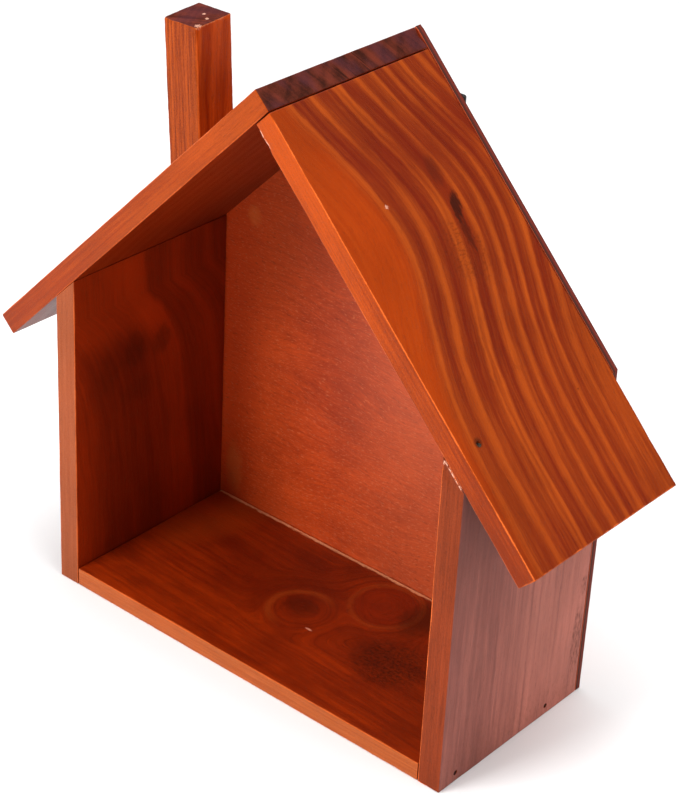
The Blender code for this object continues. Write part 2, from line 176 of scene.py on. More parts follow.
def plane_board(name, corner, size, axes, step=1.6 * MM, ease=0.5 * MM, trim=None, chips=(), seed=0.0):
    """A sawn, sanded and drilled board as a closed mesh, from its corner along three axes of its own.

    Its arrises are eased by a varying amount. A chip is (place, radius, depth) in its own millimetres.
    The edge attribute is 1 on the arrises and 0 from EDGE_REACH in.
    """
    size = np.array(size)
    lines = [spaced(s, step) for s in size]
    points = []
    quads = []
    for axis in range(3):
        a, b = (axis + 1) % 3, (axis + 2) % 3
        grid_a, grid_b = np.meshgrid(lines[a], lines[b], indexing="ij")
        for end, high in ((0.0, False), (size[axis], True)):
            face = np.zeros((grid_a.size, 3))
            face[:, a] = grid_a.ravel()
            face[:, b] = grid_b.ravel()
            face[:, axis] = end
            rows, columns = grid_a.shape
            index = np.arange(grid_a.size).reshape(rows, columns) + sum(len(p) for p in points)
            quad = np.stack([index[:-1, :-1], index[1:, :-1], index[1:, 1:], index[:-1, 1:]], -1)
            quad = quad.reshape(-1, 4)
            quads.append(quad if high else quad[:, ::-1])
            points.append(face)
    points = np.concatenate(points)
    quads = np.concatenate(quads)
    cells = np.round(points / 1e-7).astype(np.int64)
    _, first, back = np.unique(cells, axis=0, return_index=True, return_inverse=True)
    points = points[first]
    quads = back.reshape(-1)[quads]

    to_faces = np.sort(np.minimum(points, size - points), axis=1)
    edge = np.clip(1.0 - to_faces[:, 1] / EDGE_REACH, 0.0, 1.0)
    shift = Vector((seed * 7.3, seed * 3.1, seed * 5.7))
    wave = np.array([noise.noise(Vector(p) * WAVE_RATE + shift) for p in points])
    nick = np.array([noise.noise(Vector(p) * NICK_RATE + shift) for p in points])
    radius = (ease * (1.0 + 0.35 * wave + 0.25 * nick))[:, None]
    core = np.clip(points, radius, size - radius)
    outward = points - core
    length = np.linalg.norm(outward, axis=1, keepdims=True)
    direction = outward / np.maximum(length, 1e-9)
    points = core + direction * radius
    points -= direction * (0.04 * MM * (1.0 + wave[:, None]))
    for place, reach, depth in chips:
        gap = np.linalg.norm(points / MM - np.array(place), axis=1) / reach
        bite = np.clip(1.0 - gap + 0.5 * nick, 0.0, 1.0)[:, None]
        points -= direction * bite * depth * MM
    if trim:
        points = trim(points)
    placed = np.array(corner) + points @ np.array([list(a) for a in axes])

    mesh = bpy.data.meshes.new(name)
    mesh.from_pydata(placed.tolist(), [], quads.tolist())
    mesh.attributes.new("edge", "FLOAT", "POINT").data.foreach_set("value", edge.astype(np.float32))
    cleaned = bmesh.new()
    cleaned.from_mesh(mesh)
    bmesh.ops.recalc_face_normals(cleaned, faces=cleaned.faces)
    cleaned.to_mesh(mesh)
    cleaned.free()
    return drill(in_scene(name, mesh))


def nails_in(word):
    """Head centre, direction, length, head and shank radius of every frame nail with word in its name."""
    found = {}
    for node in sorted(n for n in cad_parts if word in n):
        corners = np.array([v.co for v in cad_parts[node].data.vertices])
        middle = (corners.max(0) + corners.min(0)) / 2
        direction = np.linalg.svd(corners - corners.mean(0), full_matrices=False)[2][0]
        along = (corners - middle) @ direction
        off = np.linalg.norm(corners - middle - np.outer(along, direction), axis=1)
        if along[np.argmax(off)] > 0:
            direction, along = -direction, -along
        low, high = along.min(), along.max()
        head = middle + direction * low
        shank = off[(along > low + 0.3 * (high - low)) & (off > 0.2 * MM)]
        shank_radius = float(np.median(shank)) if len(shank) else 0.6 * MM
        found[node] = (Vector(head), Vector(direction), float(high - low), float(off.max()), shank_radius)
    return found


class Wire:
    """A value in a node tree that Python's operators can work on."""

    def __init__(self, nodes, socket):
        self.nodes = nodes
        self.socket = socket

    def maths(self, operation, a, b=0.0):
        return self.nodes.node("ShaderNodeMath", {"operation": operation}, {0: a, 1: b})

    def __add__(self, other):
        return self.maths("ADD", self, other)

    def __sub__(self, other):
        return self.maths("SUBTRACT", self, other)

    def __rsub__(self, other):
        return self.maths("SUBTRACT", other, self)

    def __mul__(self, other):
        return self.maths("MULTIPLY", self, other)

    def __truediv__(self, other):
        return self.maths("DIVIDE", self, other)

    def __pow__(self, other):
        return self.maths("POWER", self, other)

    def __abs__(self):
        return self.maths("ABSOLUTE", self)

    __radd__ = __add__
    __rmul__ = __mul__

    def maximum(self, other):
        return self.maths("MAXIMUM", self, other)

    def exp(self):
        return self.maths("EXPONENT", self)

    def sine(self):
        return self.maths("SINE", self)

    def below(self, limit):
        return self.maths("LESS_THAN", self, limit)

    def step(self, low, high):
        """0 below low, 1 above high and smooth between; low may be the larger."""
        ends = {"Value": self, "From Min": min(low, high), "From Max": max(low, high)}
        ends.update({"To Min": 0.0 if low < high else 1.0, "To Max": 1.0 if low < high else 0.0})
        return self.nodes.node("ShaderNodeMapRange", {"interpolation_type": "SMOOTHSTEP"}, ends)


class Nodes:
    """A node tree, built up node by node."""

    def __init__(self, tree):
        self.tree = tree

    def node(self, kind, settings=None, inputs=None, output=0):
        made = self.tree.nodes.new(kind)
        for key, value in (settings or {}).items():
            if key == "stops":
                ramp = made.color_ramp
                ramp.interpolation = "EASE"
                while len(ramp.elements) > 1:
                    ramp.elements.remove(ramp.elements[0])
                ramp.elements[0].position = value[0][0]
                ramp.elements[0].color = (value[0][1],) * 3 + (1.0,)
                for position, level in value[1:]:
                    ramp.elements.new(position).color = (level,) * 3 + (1.0,)
            else:
                setattr(made, key, value)
        for key, value in (inputs or {}).items():
            self.join(value, made.inputs[key])
        return Wire(self, made.outputs[output])

    def join(self, value, socket):
        if isinstance(value, Wire):
            self.tree.links.new(value.socket, socket)
        else:
            socket.default_value = value

    def vector(self, x, y, z):
        return self.node("ShaderNodeCombineXYZ", None, {0: x, 1: y, 2: z})

    def split(self, vector):
        return [self.node("ShaderNodeSeparateXYZ", None, {0: vector}, output=i) for i in range(3)]


TIP_BLUNTING = 0.92  # how much of the shank's radius is gone at the tip


def nail_tree():
    """Geometry nodes for driven nails: a head, a shank and a point at every input vertex."""
    tree = bpy.data.node_groups.new("driven_nails", "GeometryNodeTree")
    tree.interface.new_socket("Places", in_out="INPUT", socket_type="NodeSocketGeometry")
    sizes = ("Length", "Shank Radius", "Head Radius", "Head Thickness", "Point Length")
    for size in sizes:
        tree.interface.new_socket(size, in_out="INPUT", socket_type="NodeSocketFloat")
    tree.interface.new_socket("Metal", in_out="INPUT", socket_type="NodeSocketMaterial")
    tree.interface.new_socket("Nails", in_out="OUTPUT", socket_type="NodeSocketGeometry")
    nodes = Nodes(tree)
    given = {socket.name: Wire(nodes, socket) for socket in tree.nodes.new("NodeGroupInput").outputs}
    length, shank, head, thickness, point = (given[size] for size in sizes)

    # five rings, at heights 2 to -2: the head, its underside, the shank below it, the point and the tip
    form = {"Vertices": 16, "Side Segments": 4, "Radius": 1.0, "Depth": 4.0}
    blank = nodes.node("GeometryNodeMeshCylinder", None, form)
    x, y, z = nodes.split(nodes.node("GeometryNodeInputPosition"))
    at_tip = z.below(-1.5)
    radius = head + z.below(0.5) * (shank - head) - at_tip * shank * TIP_BLUNTING
    depth = z.below(1.5) * thickness + z.below(-0.5) * (length - point - thickness) + at_tip * point
    drawn = nodes.vector(x * radius, y * radius, depth * -1.0)
    nail = nodes.node("GeometryNodeSetPosition", None, {"Geometry": blank, "Position": drawn})
    settings = {"data_type": "FLOAT_VECTOR"}
    driven = nodes.node("GeometryNodeInputNamedAttribute", settings, {"Name": "direction"})
    turned = nodes.node("FunctionNodeAlignRotationToVector", {"axis": "Z"}, {"Vector": driven})
    inputs = {"Points": given["Places"], "Instance": nail, "Rotation": turned}
    spun = nodes.node("GeometryNodeInstanceOnPoints", None, inputs)
    real = nodes.node("GeometryNodeRealizeInstances", None, {"Geometry": spun})
    painted = nodes.node("GeometryNodeSetMaterial", None, {"Geometry": real, "Material": given["Metal"]})
    nodes.join(painted, tree.nodes.new("NodeGroupOutput").inputs[0])
    return tree


DRIVEN_NAILS = nail_tree()
NAIL_POINT = 1.5 * MM
SHARP_FROM = math.radians(38)


def round_shading(mesh):
    """Smooth over the eased arrises, sharp where faces meet at a real corner."""
    mesh.shade_smooth()
    mesh.set_sharp_from_angle(angle=SHARP_FROM)


def drive_nails(name, nails, thickness, metal=None, room_round=0.0, mouth=0.0):
    """One mesh of nails. With room_round and mouth it is the bores that such nails leave instead."""
    places = [head - direction * mouth for head, direction, *_ in nails.values()]
    length, head_radius, shank_radius = (float(np.mean([n[i] for n in nails.values()])) for i in (2, 3, 4))
    mesh = bpy.data.meshes.new(name + "_places")
    mesh.from_pydata(places, [], [])
    backward = [c for _, direction, *_ in nails.values() for c in -direction]
    mesh.attributes.new("direction", "FLOAT_VECTOR", "POINT").data.foreach_set("vector", backward)
    holder = in_scene(name, mesh)
    modifier = holder.modifiers.new("nails", "NODES")
    modifier.node_group = DRIVEN_NAILS
    values = {
        "Length": length + mouth + room_round,
        "Shank Radius": shank_radius + room_round,
        "Head Radius": head_radius + room_round,
        "Head Thickness": thickness + mouth + room_round,
        "Point Length": NAIL_POINT,
        "Metal": metal,
    }
    for item in DRIVEN_NAILS.interface.items_tree:
        if item.in_out == "INPUT" and values.get(item.name) is not None:
            modifier[item.identifier] = values[item.name]
    graph = bpy.context.evaluated_depsgraph_get()
    made = bpy.data.meshes.new_from_object(holder.evaluated_get(graph))
    made.name = name
    round_shading(made)
    holder.modifiers.clear()
    holder.data = made
    bpy.data.meshes.remove(mesh)
    return holder


BRAD_HEAD = 0.5 * MM
HANGER_NAIL_HEAD = 0.7 * MM
PUNCHED_DEEPER = 0.5 * MM  # the brads that were then filled over
BORE_ROOM = 0.05 * MM
BORE_MOUTH = 1.2 * MM
long_brads = {k: v for k, v in nails_in("_brad_").items() if k.split("_")[0] in ("floor", "roof", "ridge")}
chimney_brads = nails_in("chimney_brad_")
panel_brads = nails_in("panel_brad_")
hanger_nails = nails_in("hanger_nail_")
filled = {k: v for k, v in long_brads.items() if k.startswith("roof_") and k.endswith("_rear")}
for group, hidden in ((long_brads, filled), (chimney_brads, chimney_brads)):
    for node, (head, direction, *sizes) in list(hidden.items()):
        group[node] = hidden[node] = (head + direction * PUNCHED_DEEPER, direction, *sizes)
unfilled = {k: v for k, v in long_brads.items() if k not in filled}
bored = ((unfilled, BORE_MOUTH), (panel_brads, BORE_MOUTH), (filled, 0.0), (chimney_brads, 0.0))
bores = [
    drive_nails(f"bores_{i}", group, BRAD_HEAD, room_round=BORE_ROOM, mouth=mouth)
    for i, (group, mouth) in enumerate(bored)
]
hanger_bores = drive_nails("bores_hanger", hanger_nails, HANGER_NAIL_HEAD, room_round=BORE_ROOM)
bores.append(hanger_bores)


def drill(board, cutters=tuple(bores)):
    """Cuts the nail bores, then shades the eased arrises smoothly and leaves a plain mesh."""
    for cutter in cutters:
        bore = board.modifiers.new(cutter.name, "BOOLEAN")
        bore.operation = "DIFFERENCE"
        bore.solver = "EXACT"
        bore.object = cutter
    graph = bpy.context.evaluated_depsgraph_get()
    drilled = bpy.data.meshes.new_from_object(board.evaluated_get(graph))
    board.modifiers.clear()
    board.data = drilled
    drilled.name = board.name
    round_shading(drilled)
    return board


def linear(colour):
    """Scene-linear colour of a '#rrggbb' paint chip."""
    parts = [int(colour[i : i + 2], 16) / 255 for i in (1, 3, 5)]
    return tuple(c / 12.92 if c <= 0.04045 else ((c + 0.055) / 1.055) ** 2.4 for c in parts) + (1.0,)


class Finish(Nodes):
    """One material."""

    def __init__(self, name):
        self.material = bpy.data.materials.new(name)
        self.material.use_nodes = True
        super().__init__(self.material.node_tree)

    def give(self, name, value):
        """Sets one input of the shader."""
        self.join(value, self.tree.nodes["Principled BSDF"].inputs[name])

    def bump(self, height, distance, strength):
        inputs = {"Height": height, "Distance": distance * MM, "Strength": strength}
        self.give("Normal", self.node("ShaderNodeBump", None, inputs))

    def blend(self, kind, factor, a, b):
        """Mixes two colours."""
        settings = {"data_type": "RGBA", "blend_type": kind}
        return self.node("ShaderNodeMix", settings, {0: factor, 6: a, 7: b}, output=2)

    def layer(self, colour, *marks):
        """Lays marks over a colour, each a share and either a '#rrggbb' paint or a colour of its own."""
        for share, paint in marks:
            over = linear(paint) if isinstance(paint, str) else paint
            colour = self.blend("MIX", share, colour, over)
        return colour

    def noise(self, x, y, z, detail=2.0, roughness=0.5):
        inputs = {"Vector": self.vector(x, y, z), "Scale": 1.0, "Detail": detail, "Roughness": roughness}
        return self.node("ShaderNodeTexNoise", None, inputs)

    def board_frame(self, corner=(0.0, 0.0, 0.0), turn=(0.0, 0.0, 0.0)):
        """Along, across and through a board, in its own millimetres."""
        place = self.node("ShaderNodeTexCoord", output="Object")
        inputs = {"Vector": place, "Location": corner, "Rotation": turn, "Scale": (MM, MM, MM)}
        return self.split(self.node("ShaderNodeMapping", {"vector_type": "TEXTURE"}, inputs))

    def facing(self, direction):
        """How squarely the surface faces along a direction, either way."""
        inputs = {0: self.node("ShaderNodeTexCoord", output="Normal"), 1: tuple(direction)}
        return abs(self.node("ShaderNodeVectorMath", {"operation": "DOT_PRODUCT"}, inputs, output="Value"))

    def edge(self):
        return self.node("ShaderNodeAttribute", {"attribute_name": "edge"}, output="Fac")


WORN_AND_HIGHLIT_ARRIS = "#E0682C"  # where the sander and handling thinned the stain, and a painted highlight along the arrises
TORN_WOOD = "#EEB49A"
DULL_END = "#4A2430"
AMBER = (1.0, 0.50, 0.22, 1.0)  # the varnish yellows what it mirrors
PANEL_SHADE = (84.5, 82.0)  # the panel keeps the rear arris from wear and from the painted highlight, millimetres across


def swell(value, place, reach):
    """1 at a place along a board, falling off as a bell over its reach."""
    return (((value - place) / reach) ** 2.0 * -1.0).exp()


def oval(along, across, place, reach):
    """Squared distance from the middle of an oval spot, 1 on its rim."""
    a = (along - place[0]) / reach[0]
    b = (across - place[1]) / reach[1]
    return a * a + b * b


def stained_pine(
    name, corner, turn, grain_axis, rings, band, faces, sides, ends=("#4A1A10", "#7A3020"), marks=None,
    figure=1.0, satin=0.42, fuzz=1.0, wear_and_highlight=0.55, rubbed_and_highlit=None, fade=0.0, chips=(), frayed=(), seed=0.0,
):  # fmt: skip
    """Pine whose soft summer wood took up more stain than the hard winter rings.

    rings gives the ring coordinate in millimetres, and band how hard the wood is there, from 0 to 1. Faces,
    sides and ends are pairs of colours, soft and hard; the sides are the narrow front and rear edges.
    The rubbing mask tells where the arrises lost their stain and carry a painted highlight. Chips are pale
    nicks, and frayed ones lie on an arris.
    """
    finish = Finish(name)
    along, across, through = finish.board_frame(corner, turn)
    shifted = along + seed * 97.0
    drift = finish.noise(shifted * 0.016, across * 0.045, through * 0.045, 2.0) - 0.5
    jitter = finish.noise(shifted * 0.05, across * 0.25, through * 0.25, 3.0, 0.6) - 0.5
    ring = rings(finish, along, across, through) + drift * 2.6 + jitter * 2.2
    hardness = band(finish, ring, along, across)

    streak = finish.noise(shifted * 0.020, ring * 0.5, through * 0.6, 4.0, 0.6)
    fibre = finish.noise(shifted * 0.06, ring * 2.2, through * 2.2, 3.0, 0.65)
    fleck = finish.noise(shifted * 0.28, ring * 3.0, through * 3.0, 2.0, 0.6).step(0.56, 0.70)
    blotch = finish.noise(shifted * 0.025, across * 0.04, through * 0.04, 4.0, 0.6)
    speck = finish.noise(shifted * 1.6, across * 2.4, through * 2.4, 2.0, 0.6) - 0.5

    level = hardness + (streak - 0.5) * (0.9 * figure) + (fibre - 0.5) * (0.7 * figure)
    shade = 1.0 + (blotch - 0.5) * 0.55 - fleck * 0.20 + speck * 0.25
    colour = finish.layer(linear(faces[0]), (level.step(-0.15, 1.1), faces[1]))
    if marks:
        colour = finish.layer(colour, *marks(finish, ring, along, across, through))

    side = finish.facing(BACK).step(0.6, 0.95)
    side_streak = finish.noise(shifted * 0.02, across * 0.8, through * 0.8, 4.0, 0.65)
    side_level = 0.5 + (side_streak - 0.5) * (1.5 * figure) + (fibre - 0.5) * 0.6 + speck * 0.6
    side_level = side_level - (along - 90.0) * fade
    side_colour = finish.layer(linear(sides[0]), (side_level.step(0.05, 0.95), sides[1]))
    colour = finish.layer(colour, (side, side_colour))
    colour = finish.blend("MULTIPLY", 1.0, colour, finish.vector(shade, shade, shade))

    end = finish.facing(grain_axis).step(0.55, 0.85)
    slant = across - through * 0.55
    pith = finish.noise(slant * 0.15, through * 0.02, seed, 3.0, 0.6)
    year = finish.noise(slant * 0.42, through * 0.03, seed + 9.0, 2.0, 0.6).step(0.40, 0.30)
    end_streak = finish.noise(across * 0.9, through * 0.9, shifted * 0.9, 3.0, 0.7)
    end_level = (hardness * 0.15 + pith * 0.9 + end_streak * 0.25 - year * 0.25).step(0.46, 0.84)
    end_colour = finish.layer(linear(ends[0]), (end_level, ends[1]))
    dull = finish.noise(slant * 0.07, through * 0.05, seed + 4.0, 3.0, 0.6).step(0.42, 0.62)
    end_colour = finish.layer(end_colour, (dull * 0.45, DULL_END))
    colour = finish.layer(colour, (end, end_colour))

    # The arrises are lighter: partly stain sanded off, partly a painted highlight along them.
    rub = finish.noise(shifted * 0.05, across * 0.3, through * 0.3, 3.0, 0.6)
    bare = (finish.edge() + (rub - 0.5) * 0.5 + speck * 0.2).step(0.80, 1.0)
    bare = bare * (1.0 - end) * along.step(1.0, 6.0) * across.step(*PANEL_SHADE)
    if rubbed_and_highlit:
        bare = bare * rubbed_and_highlit(along, across, through)
    colour = finish.layer(colour, (bare * wear_and_highlight, WORN_AND_HIGHLIT_ARRIS))
    torn = finish.noise(along * 2.0, across * 2.0, through * 2.0, 3.0, 0.7) - 0.5
    for places, where in ((chips, 0.65), (frayed, finish.edge().step(0.62, 0.82))):
        for at_along, at_across, at_through, reach in places:
            gap = (along - at_along) ** 2.0 + (across - at_across) ** 2.0 + (through - at_through) ** 2.0
            chip = (gap / reach**2 + torn * 5.0).step(0.9, 0.3)
            colour = finish.layer(colour, (chip * where, TORN_WOOD))
    finish.give("Base Color", colour)

    rough = satin + (fibre - 0.5) * 0.22 - hardness * 0.05 + end * 0.2
    finish.give("Roughness", rough)
    finish.give("Specular IOR Level", 0.2)
    finish.give("Specular Tint", AMBER)
    relief = hardness * 0.35 + fibre * (0.5 * fuzz) - fleck * (0.5 * fuzz) + end_streak * end * 1.5
    finish.bump(relief, 0.12, 0.7)
    return finish.material


def settle(board, node, material):
    """Puts a finished board in the place of its frame node."""
    board.data.materials.clear()
    board.data.materials.append(material)
    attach(board, "root")
    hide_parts(node)


RIGHT_AXES = (RIGHT_DOWN, BACK, RIGHT_OUT)
right_corner, right_size = board_box("right_roof_board", RIGHT_AXES)
RIDGE_BEVEL = math.tan(math.pi / 2 - 2 * ROOF_SLOPE)  # the two boards don't meet quite square


def trim_right_end(points):
    """Cuts the upper end to lie flat under the left board."""
    share = np.clip(1.0 - points[:, 0] / (20 * MM), 0.0, 1.0)
    points[:, 0] -= RIDGE_BEVEL * (right_size[2] - points[:, 2]) * share
    return points


right_roof = plane_board(
    "right_roof",
    right_corner,
    right_size,
    RIGHT_AXES,
    trim=trim_right_end,
    chips=[((2.5, 0.2, 0.1), 2.0, 0.45), ((9.0, 0.2, 0.1), 2.2, 0.4), ((45.6, 26.6, 9.0), 1.1, 0.3)],
    seed=1.0,
)


def right_roof_rings(finish, along, across, through):
    """The rings swing towards the rear where they pass the knot."""
    swing = swell(along, 52.0, 46.0) * 21.0
    trail = swell(along, 85.0, 45.0) * 2.5
    return across - swing - trail + through * 0.35 - 3.0


RINGS_FROM = -24.0
RINGS_REACH = 112.0
RIGHT_RINGS = [  # ring coordinate in millimetres, and how hard the wood is there
    (-24, 0.50), (-12, 0.58), (-4, 0.56), (1.0, 0.40), (4.5, 0.85), (6.2, 0.30), (9.5, 0.12), (12.5, 0.45),
    (15.2, 0.95), (17, 0.36), (20, 0.14), (24.5, 0.30), (26.2, 0.86), (27.6, 0.60), (29.2, 0.98), (31, 0.20),
    (34.5, 0.14), (39.2, 0.86), (41, 0.30), (44, 0.28), (47.2, 0.90), (49.2, 0.18), (52, 0.22), (55, 0.82),
    (56.8, 0.15), (60.5, 0.40), (63.5, 0.88), (65.3, 0.16), (69, 0.25), (72.5, 0.75), (75, 0.30), (79, 0.65),
]  # fmt: skip


def right_roof_band(finish, ring, along, across):
    """The rings as listed, all darker where they crowd above the knot."""
    stops = [((place - RINGS_FROM) / RINGS_REACH, level) for place, level in RIGHT_RINGS]
    rows = finish.node("ShaderNodeValToRGB", {"stops": stops}, {0: (ring - RINGS_FROM) / RINGS_REACH})
    crowded = swell(along, 30.0, 17.0) * ring.step(0.0, 10.0)
    calm = (1.0 - crowded * 0.55) * (1.0 - along.step(95.0, 140.0) * 0.4)
    return (rows - 0.5) * calm + 0.47 - crowded * 0.28 - along.step(150.0, 182.0) * 0.08


ROOF_KNOT = (55.5, 57.0)  # along and across, in millimetres


def right_roof_marks(finish, ring, along, across, through):
    """The knot, a long dark scar with a shadow above it, torn grain, and stain soaked in round a nick."""
    ragged = finish.noise(along * 0.25, across * 0.9, through * 0.9, 3.0, 0.6) - 0.5
    around = oval(along, across, (57.0, 56.5), (22.0, 4.5)).step(1.4, 0.1)
    head = (oval(along, across, (41.0, 56.0), (6.5, 3.2)) + ragged * 1.5).step(1.5, 0.1)
    trailing = across + (along - 66.0) * 0.10
    tail = (oval(along, trailing, (65.5, 55.2), (7.0, 2.1)) + ragged * 3.4).step(1.3, 0.2)
    slanted = across + (along - ROOF_KNOT[0]) * 0.30
    core = (oval(along, slanted, ROOF_KNOT, (6.0, 2.8)) + ragged * 2.6).step(1.3, 0.2)
    patch = (oval(along, across, (71.0, 50.0), (15.0, 11.0)) + ragged).step(1.3, 0.2)
    dashes = finish.noise(along * 1.2, across * 0.5, through, 3.0, 0.7).step(0.46, 0.66)
    front_zone = (ring - 3.0).step(2.0, -5.0)
    dim_ends = along.step(50.0, 0.0) + along.step(120.0, 178.0)
    soaked = (oval(along, across, (131.0, 8.8), (1.0, 1.0)) + ragged * 3.0).step(5.0, 1.0)
    return [
        (around * 0.45, "#7A2409"),
        (head * 0.65, "#5A1A0C"),
        (tail * 0.85, "#4A140A"),
        (core * 0.92, "#35100A"),
        (patch * (0.16 + dashes * 0.42), "#561A08"),
        (front_zone * 0.6, "#A23402"),
        (front_zone * dim_ends * 0.40, "#6E2406"),
        (soaked * 0.7, "#4A1A0A"),
    ]


def right_roof_rubbed_and_highlit(along, across, through):
    """The lower end keeps its stain and has no painted highlight."""
    return along.step(188.0, 183.0)


RIGHT_TURN = (0.0, ROOF_SLOPE, 0.0)
settle(
    right_roof,
    "right_roof_board",
    stained_pine(
        "right_roof_stain",
        right_corner,
        RIGHT_TURN,
        RIGHT_DOWN,
        right_roof_rings,
        right_roof_band,
        faces=("#6A1A0A", "#A84714"),
        sides=("#7E2604", "#B44404"),
        ends=("#4C160A", "#7E3018"),
        marks=right_roof_marks,
        wear_and_highlight=0.8,
        rubbed_and_highlit=right_roof_rubbed_and_highlit,
        fade=0.004,
        chips=[(45.6, 26.6, 9.0, 0.9)],
        frayed=[(4.2, 0.0, 0.5, 1.6), (8.3, 0.0, 0.5, 1.9)],
        seed=1.0,
    ),
)

# ---- Left roof board -------------------------------------------------------------------------------
# The same pine, lapped over the end of the right board. Its own upper end is the dark band of end
# grain along the ridge, which drank the stain.

LEFT_AXES = (LEFT_DOWN, BACK, -LEFT_OUT)
left_corner, left_size = board_box("left_roof_board", LEFT_AXES)
left_chips = [((0.2, 84.5, 4.0), 3.0, 0.5), ((0.2, 72.0, 8.8), 1.8, 0.4)]
left_roof = plane_board("left_roof", left_corner, left_size, LEFT_AXES, chips=left_chips, seed=2.0)


def left_roof_rings(finish, along, across, through):
    swing = swell(along, 118.0, 52.0) * 12.0
    return across + swing + through * 0.9


def even_rings(pitch, strength=0.5, middle=0.45):
    """Hard rings at a pitch in millimetres that wanders from year to year."""

    def band(finish, ring, along, across):
        year = finish.noise(ring * (0.35 / pitch), 0.0, along * 0.004, 2.0) * 2.2
        wave = (ring * (math.tau / pitch) + year * math.tau).sine()
        return wave * (0.5 * strength) + middle

    return band


def left_roof_marks(finish, ring, along, across, through):
    """A darker underside, painted shade deeper in, and bare wood where the rear end of the ridge was
    knocked.
    """
    under = through.step(3.0, 8.5)
    # painted shade, deeper under the roof towards the eave and the rear
    low = under * along.step(60.0, 135.0) * (0.25 + across.step(20.0, 80.0) * 0.3)
    ragged = finish.noise(along * 0.6, across * 0.6, through * 0.6, 3.0, 0.6) - 0.5
    knocked = (across + ragged * 4.0).step(81.0, 84.5) * along.step(3.0, 0.5)
    return [(under * 0.82, "#7C1E01"), (low, "#4A0E00"), (knocked * 0.8, "#B85A34")]


settle(
    left_roof,
    "left_roof_board",
    stained_pine(
        "left_roof_stain",
        left_corner,
        (0.0, math.pi - ROOF_SLOPE, 0.0),
        LEFT_DOWN,
        left_roof_rings,
        even_rings(10.0, 0.55),
        faces=("#661A05", "#A84A14"),
        sides=("#822803", "#A84208"),
        ends=("#2A0A08", "#66281C"),
        marks=left_roof_marks,
        fade=0.0025,
        seed=2.0,
    ),
)

# ---- Side walls ------------------------------------------------------------------------------------
# Two pine boards with the grain upright, their tops sawn to the roof's slope. The outer faces were
# stained but hardly varnished, so they are matt, and their pinkish colour is partly a painted sheen;
# the inner faces are darker.

JOINT_GAP = 0.25 * MM  # the boards are nailed up tight, where the frame leaves a gap


def plane_wall(name, node, out, seed, chips=()):
    low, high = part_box(node)
    roof_line = span(node, out)[1] + JOINT_GAP
    height = high.z

    def trim_top(points):
        x = low.x + points[:, 2]
        top = (roof_line - x * out.x) / out.z
        points[:, 0] = height - (height - points[:, 0]) * top / height
        return points

    corner = Vector((low.x, low.y, high.z))
    size = (height, high.y - low.y, high.x - low.x)
    axes = (-UP, BACK, ACROSS)
    wall = plane_board(name, corner, size, axes, ease=0.35 * MM, trim=trim_top, chips=chips, seed=seed)
    return wall, corner


left_wall, left_wall_corner = plane_wall("left_wall", "left_side_wall", LEFT_OUT, 3.0)
right_wall, right_wall_corner = plane_wall(
    "right_wall",
    "right_side_wall",
    RIGHT_OUT,
    4.0,
    chips=[((4.0, 0.2, 3.0), 4.0, 0.5), ((60.0, 84.8, 9.9), 2.5, 0.4)],
)


def left_wall_rings(finish, along, across, through):
    """Half an arch: the rings lean forward near the top."""
    lean = ((along - 18.0).maximum(0.0) / -22.0).exp() * 24.0
    wander = finish.noise(along * 0.02, across * 0.05, 0.0, 3.0, 0.6) - 0.5
    return across + lean - along * 0.04 + through * 0.3 + wander * 5.0


LEFT_WALL_RINGS = [  # as on the right roof board
    (0, 0.58), (10, 0.40), (18, 0.20), (42, 0.16), (50, 0.36), (57, 0.56), (63.5, 0.62), (67, 0.36),
    (74, 0.40), (79, 0.52), (82.5, 0.68), (88, 0.46), (96, 0.42), (100, 0.64), (106, 0.42),
]  # fmt: skip


def left_wall_band(finish, ring, along, across):
    stops = [(place / RINGS_REACH, level) for place, level in LEFT_WALL_RINGS]
    rows = finish.node("ShaderNodeValToRGB", {"stops": stops}, {0: ring / RINGS_REACH})
    crown = ring.step(6.0, 20.0) * ring.step(66.0, 60.0) * along.step(42.0, 26.0)
    return rows + crown * 0.42


def upright_grain(finish, along, across, soft, hard):
    """Straight grain in two colours, for a wall's other face."""
    streak = finish.noise(along * 0.006, across * 0.4, 3.0, 4.0, 0.65)
    return finish.layer(linear(soft), (streak.step(0.30, 0.72), hard))


LEFT_WALL_CLOUDS = [  # place along and across, reach along and across, and how dark
    ((42, 33), (7.0, 7.0), 0.42),
    ((43, 47.5), (6.0, 4.4), 0.45),
    ((49, 17), (9.0, 6.0), 0.26),
    ((61, 35), (5.0, 8.0), 0.24),
    ((116, 43), (12.0, 7.0), 0.20),
    ((124, 72), (10.0, 10.0), 0.12),
]


def left_wall_marks(finish, ring, along, across, through):
    """Two dark eyes under the arches and cloudy patches below; the outer face is matt, and pinker partly as
    a painted sheen.
    """
    ragged = finish.noise(along * 0.12, across * 0.2, through * 0.2, 3.0, 0.6) - 0.5
    marks = []
    for place, reach, depth in LEFT_WALL_CLOUDS:
        cloud = (oval(along, across, place, reach) + ragged * 3.4).step(1.9, -0.2)
        marks.append((cloud * depth, "#3A0E02"))
    # the pinkish outer colours hold a painted sheen as well as the wood's own tone
    outer = upright_grain(finish, along, across, "#74403A", "#AC665A")
    return marks + [(through.step(6.0, 2.0) * 0.92, outer)]


WALL_TURN = (0.0, math.radians(90), 0.0)
settle(
    left_wall,
    "left_side_wall",
    stained_pine(
        "left_wall_stain",
        left_wall_corner,
        WALL_TURN,
        UP,
        left_wall_rings,
        left_wall_band,
        faces=("#541002", "#982A05"),
        sides=("#883A16", "#A25230"),
        marks=left_wall_marks,
        figure=0.7,
        satin=0.5,
        seed=3.0,
    ),
)


def right_wall_rings(finish, along, across, through):
    return across + along * 0.02 + through * 0.5


def right_wall_band(finish, ring, along, across):
    wide = finish.noise(ring * 0.09, along * 0.004, 0.0, 2.0)
    fine = (ring * (math.tau / 4.4)).sine() * 0.5 + 0.5
    # Darker towards the front and the top: a painted shadow of the roof's overhang.
    return wide * 0.5 + fine * 0.10 + ring.step(30.0, 66.0) * 0.45 + along.step(20.0, 120.0) * 0.2 - 0.25


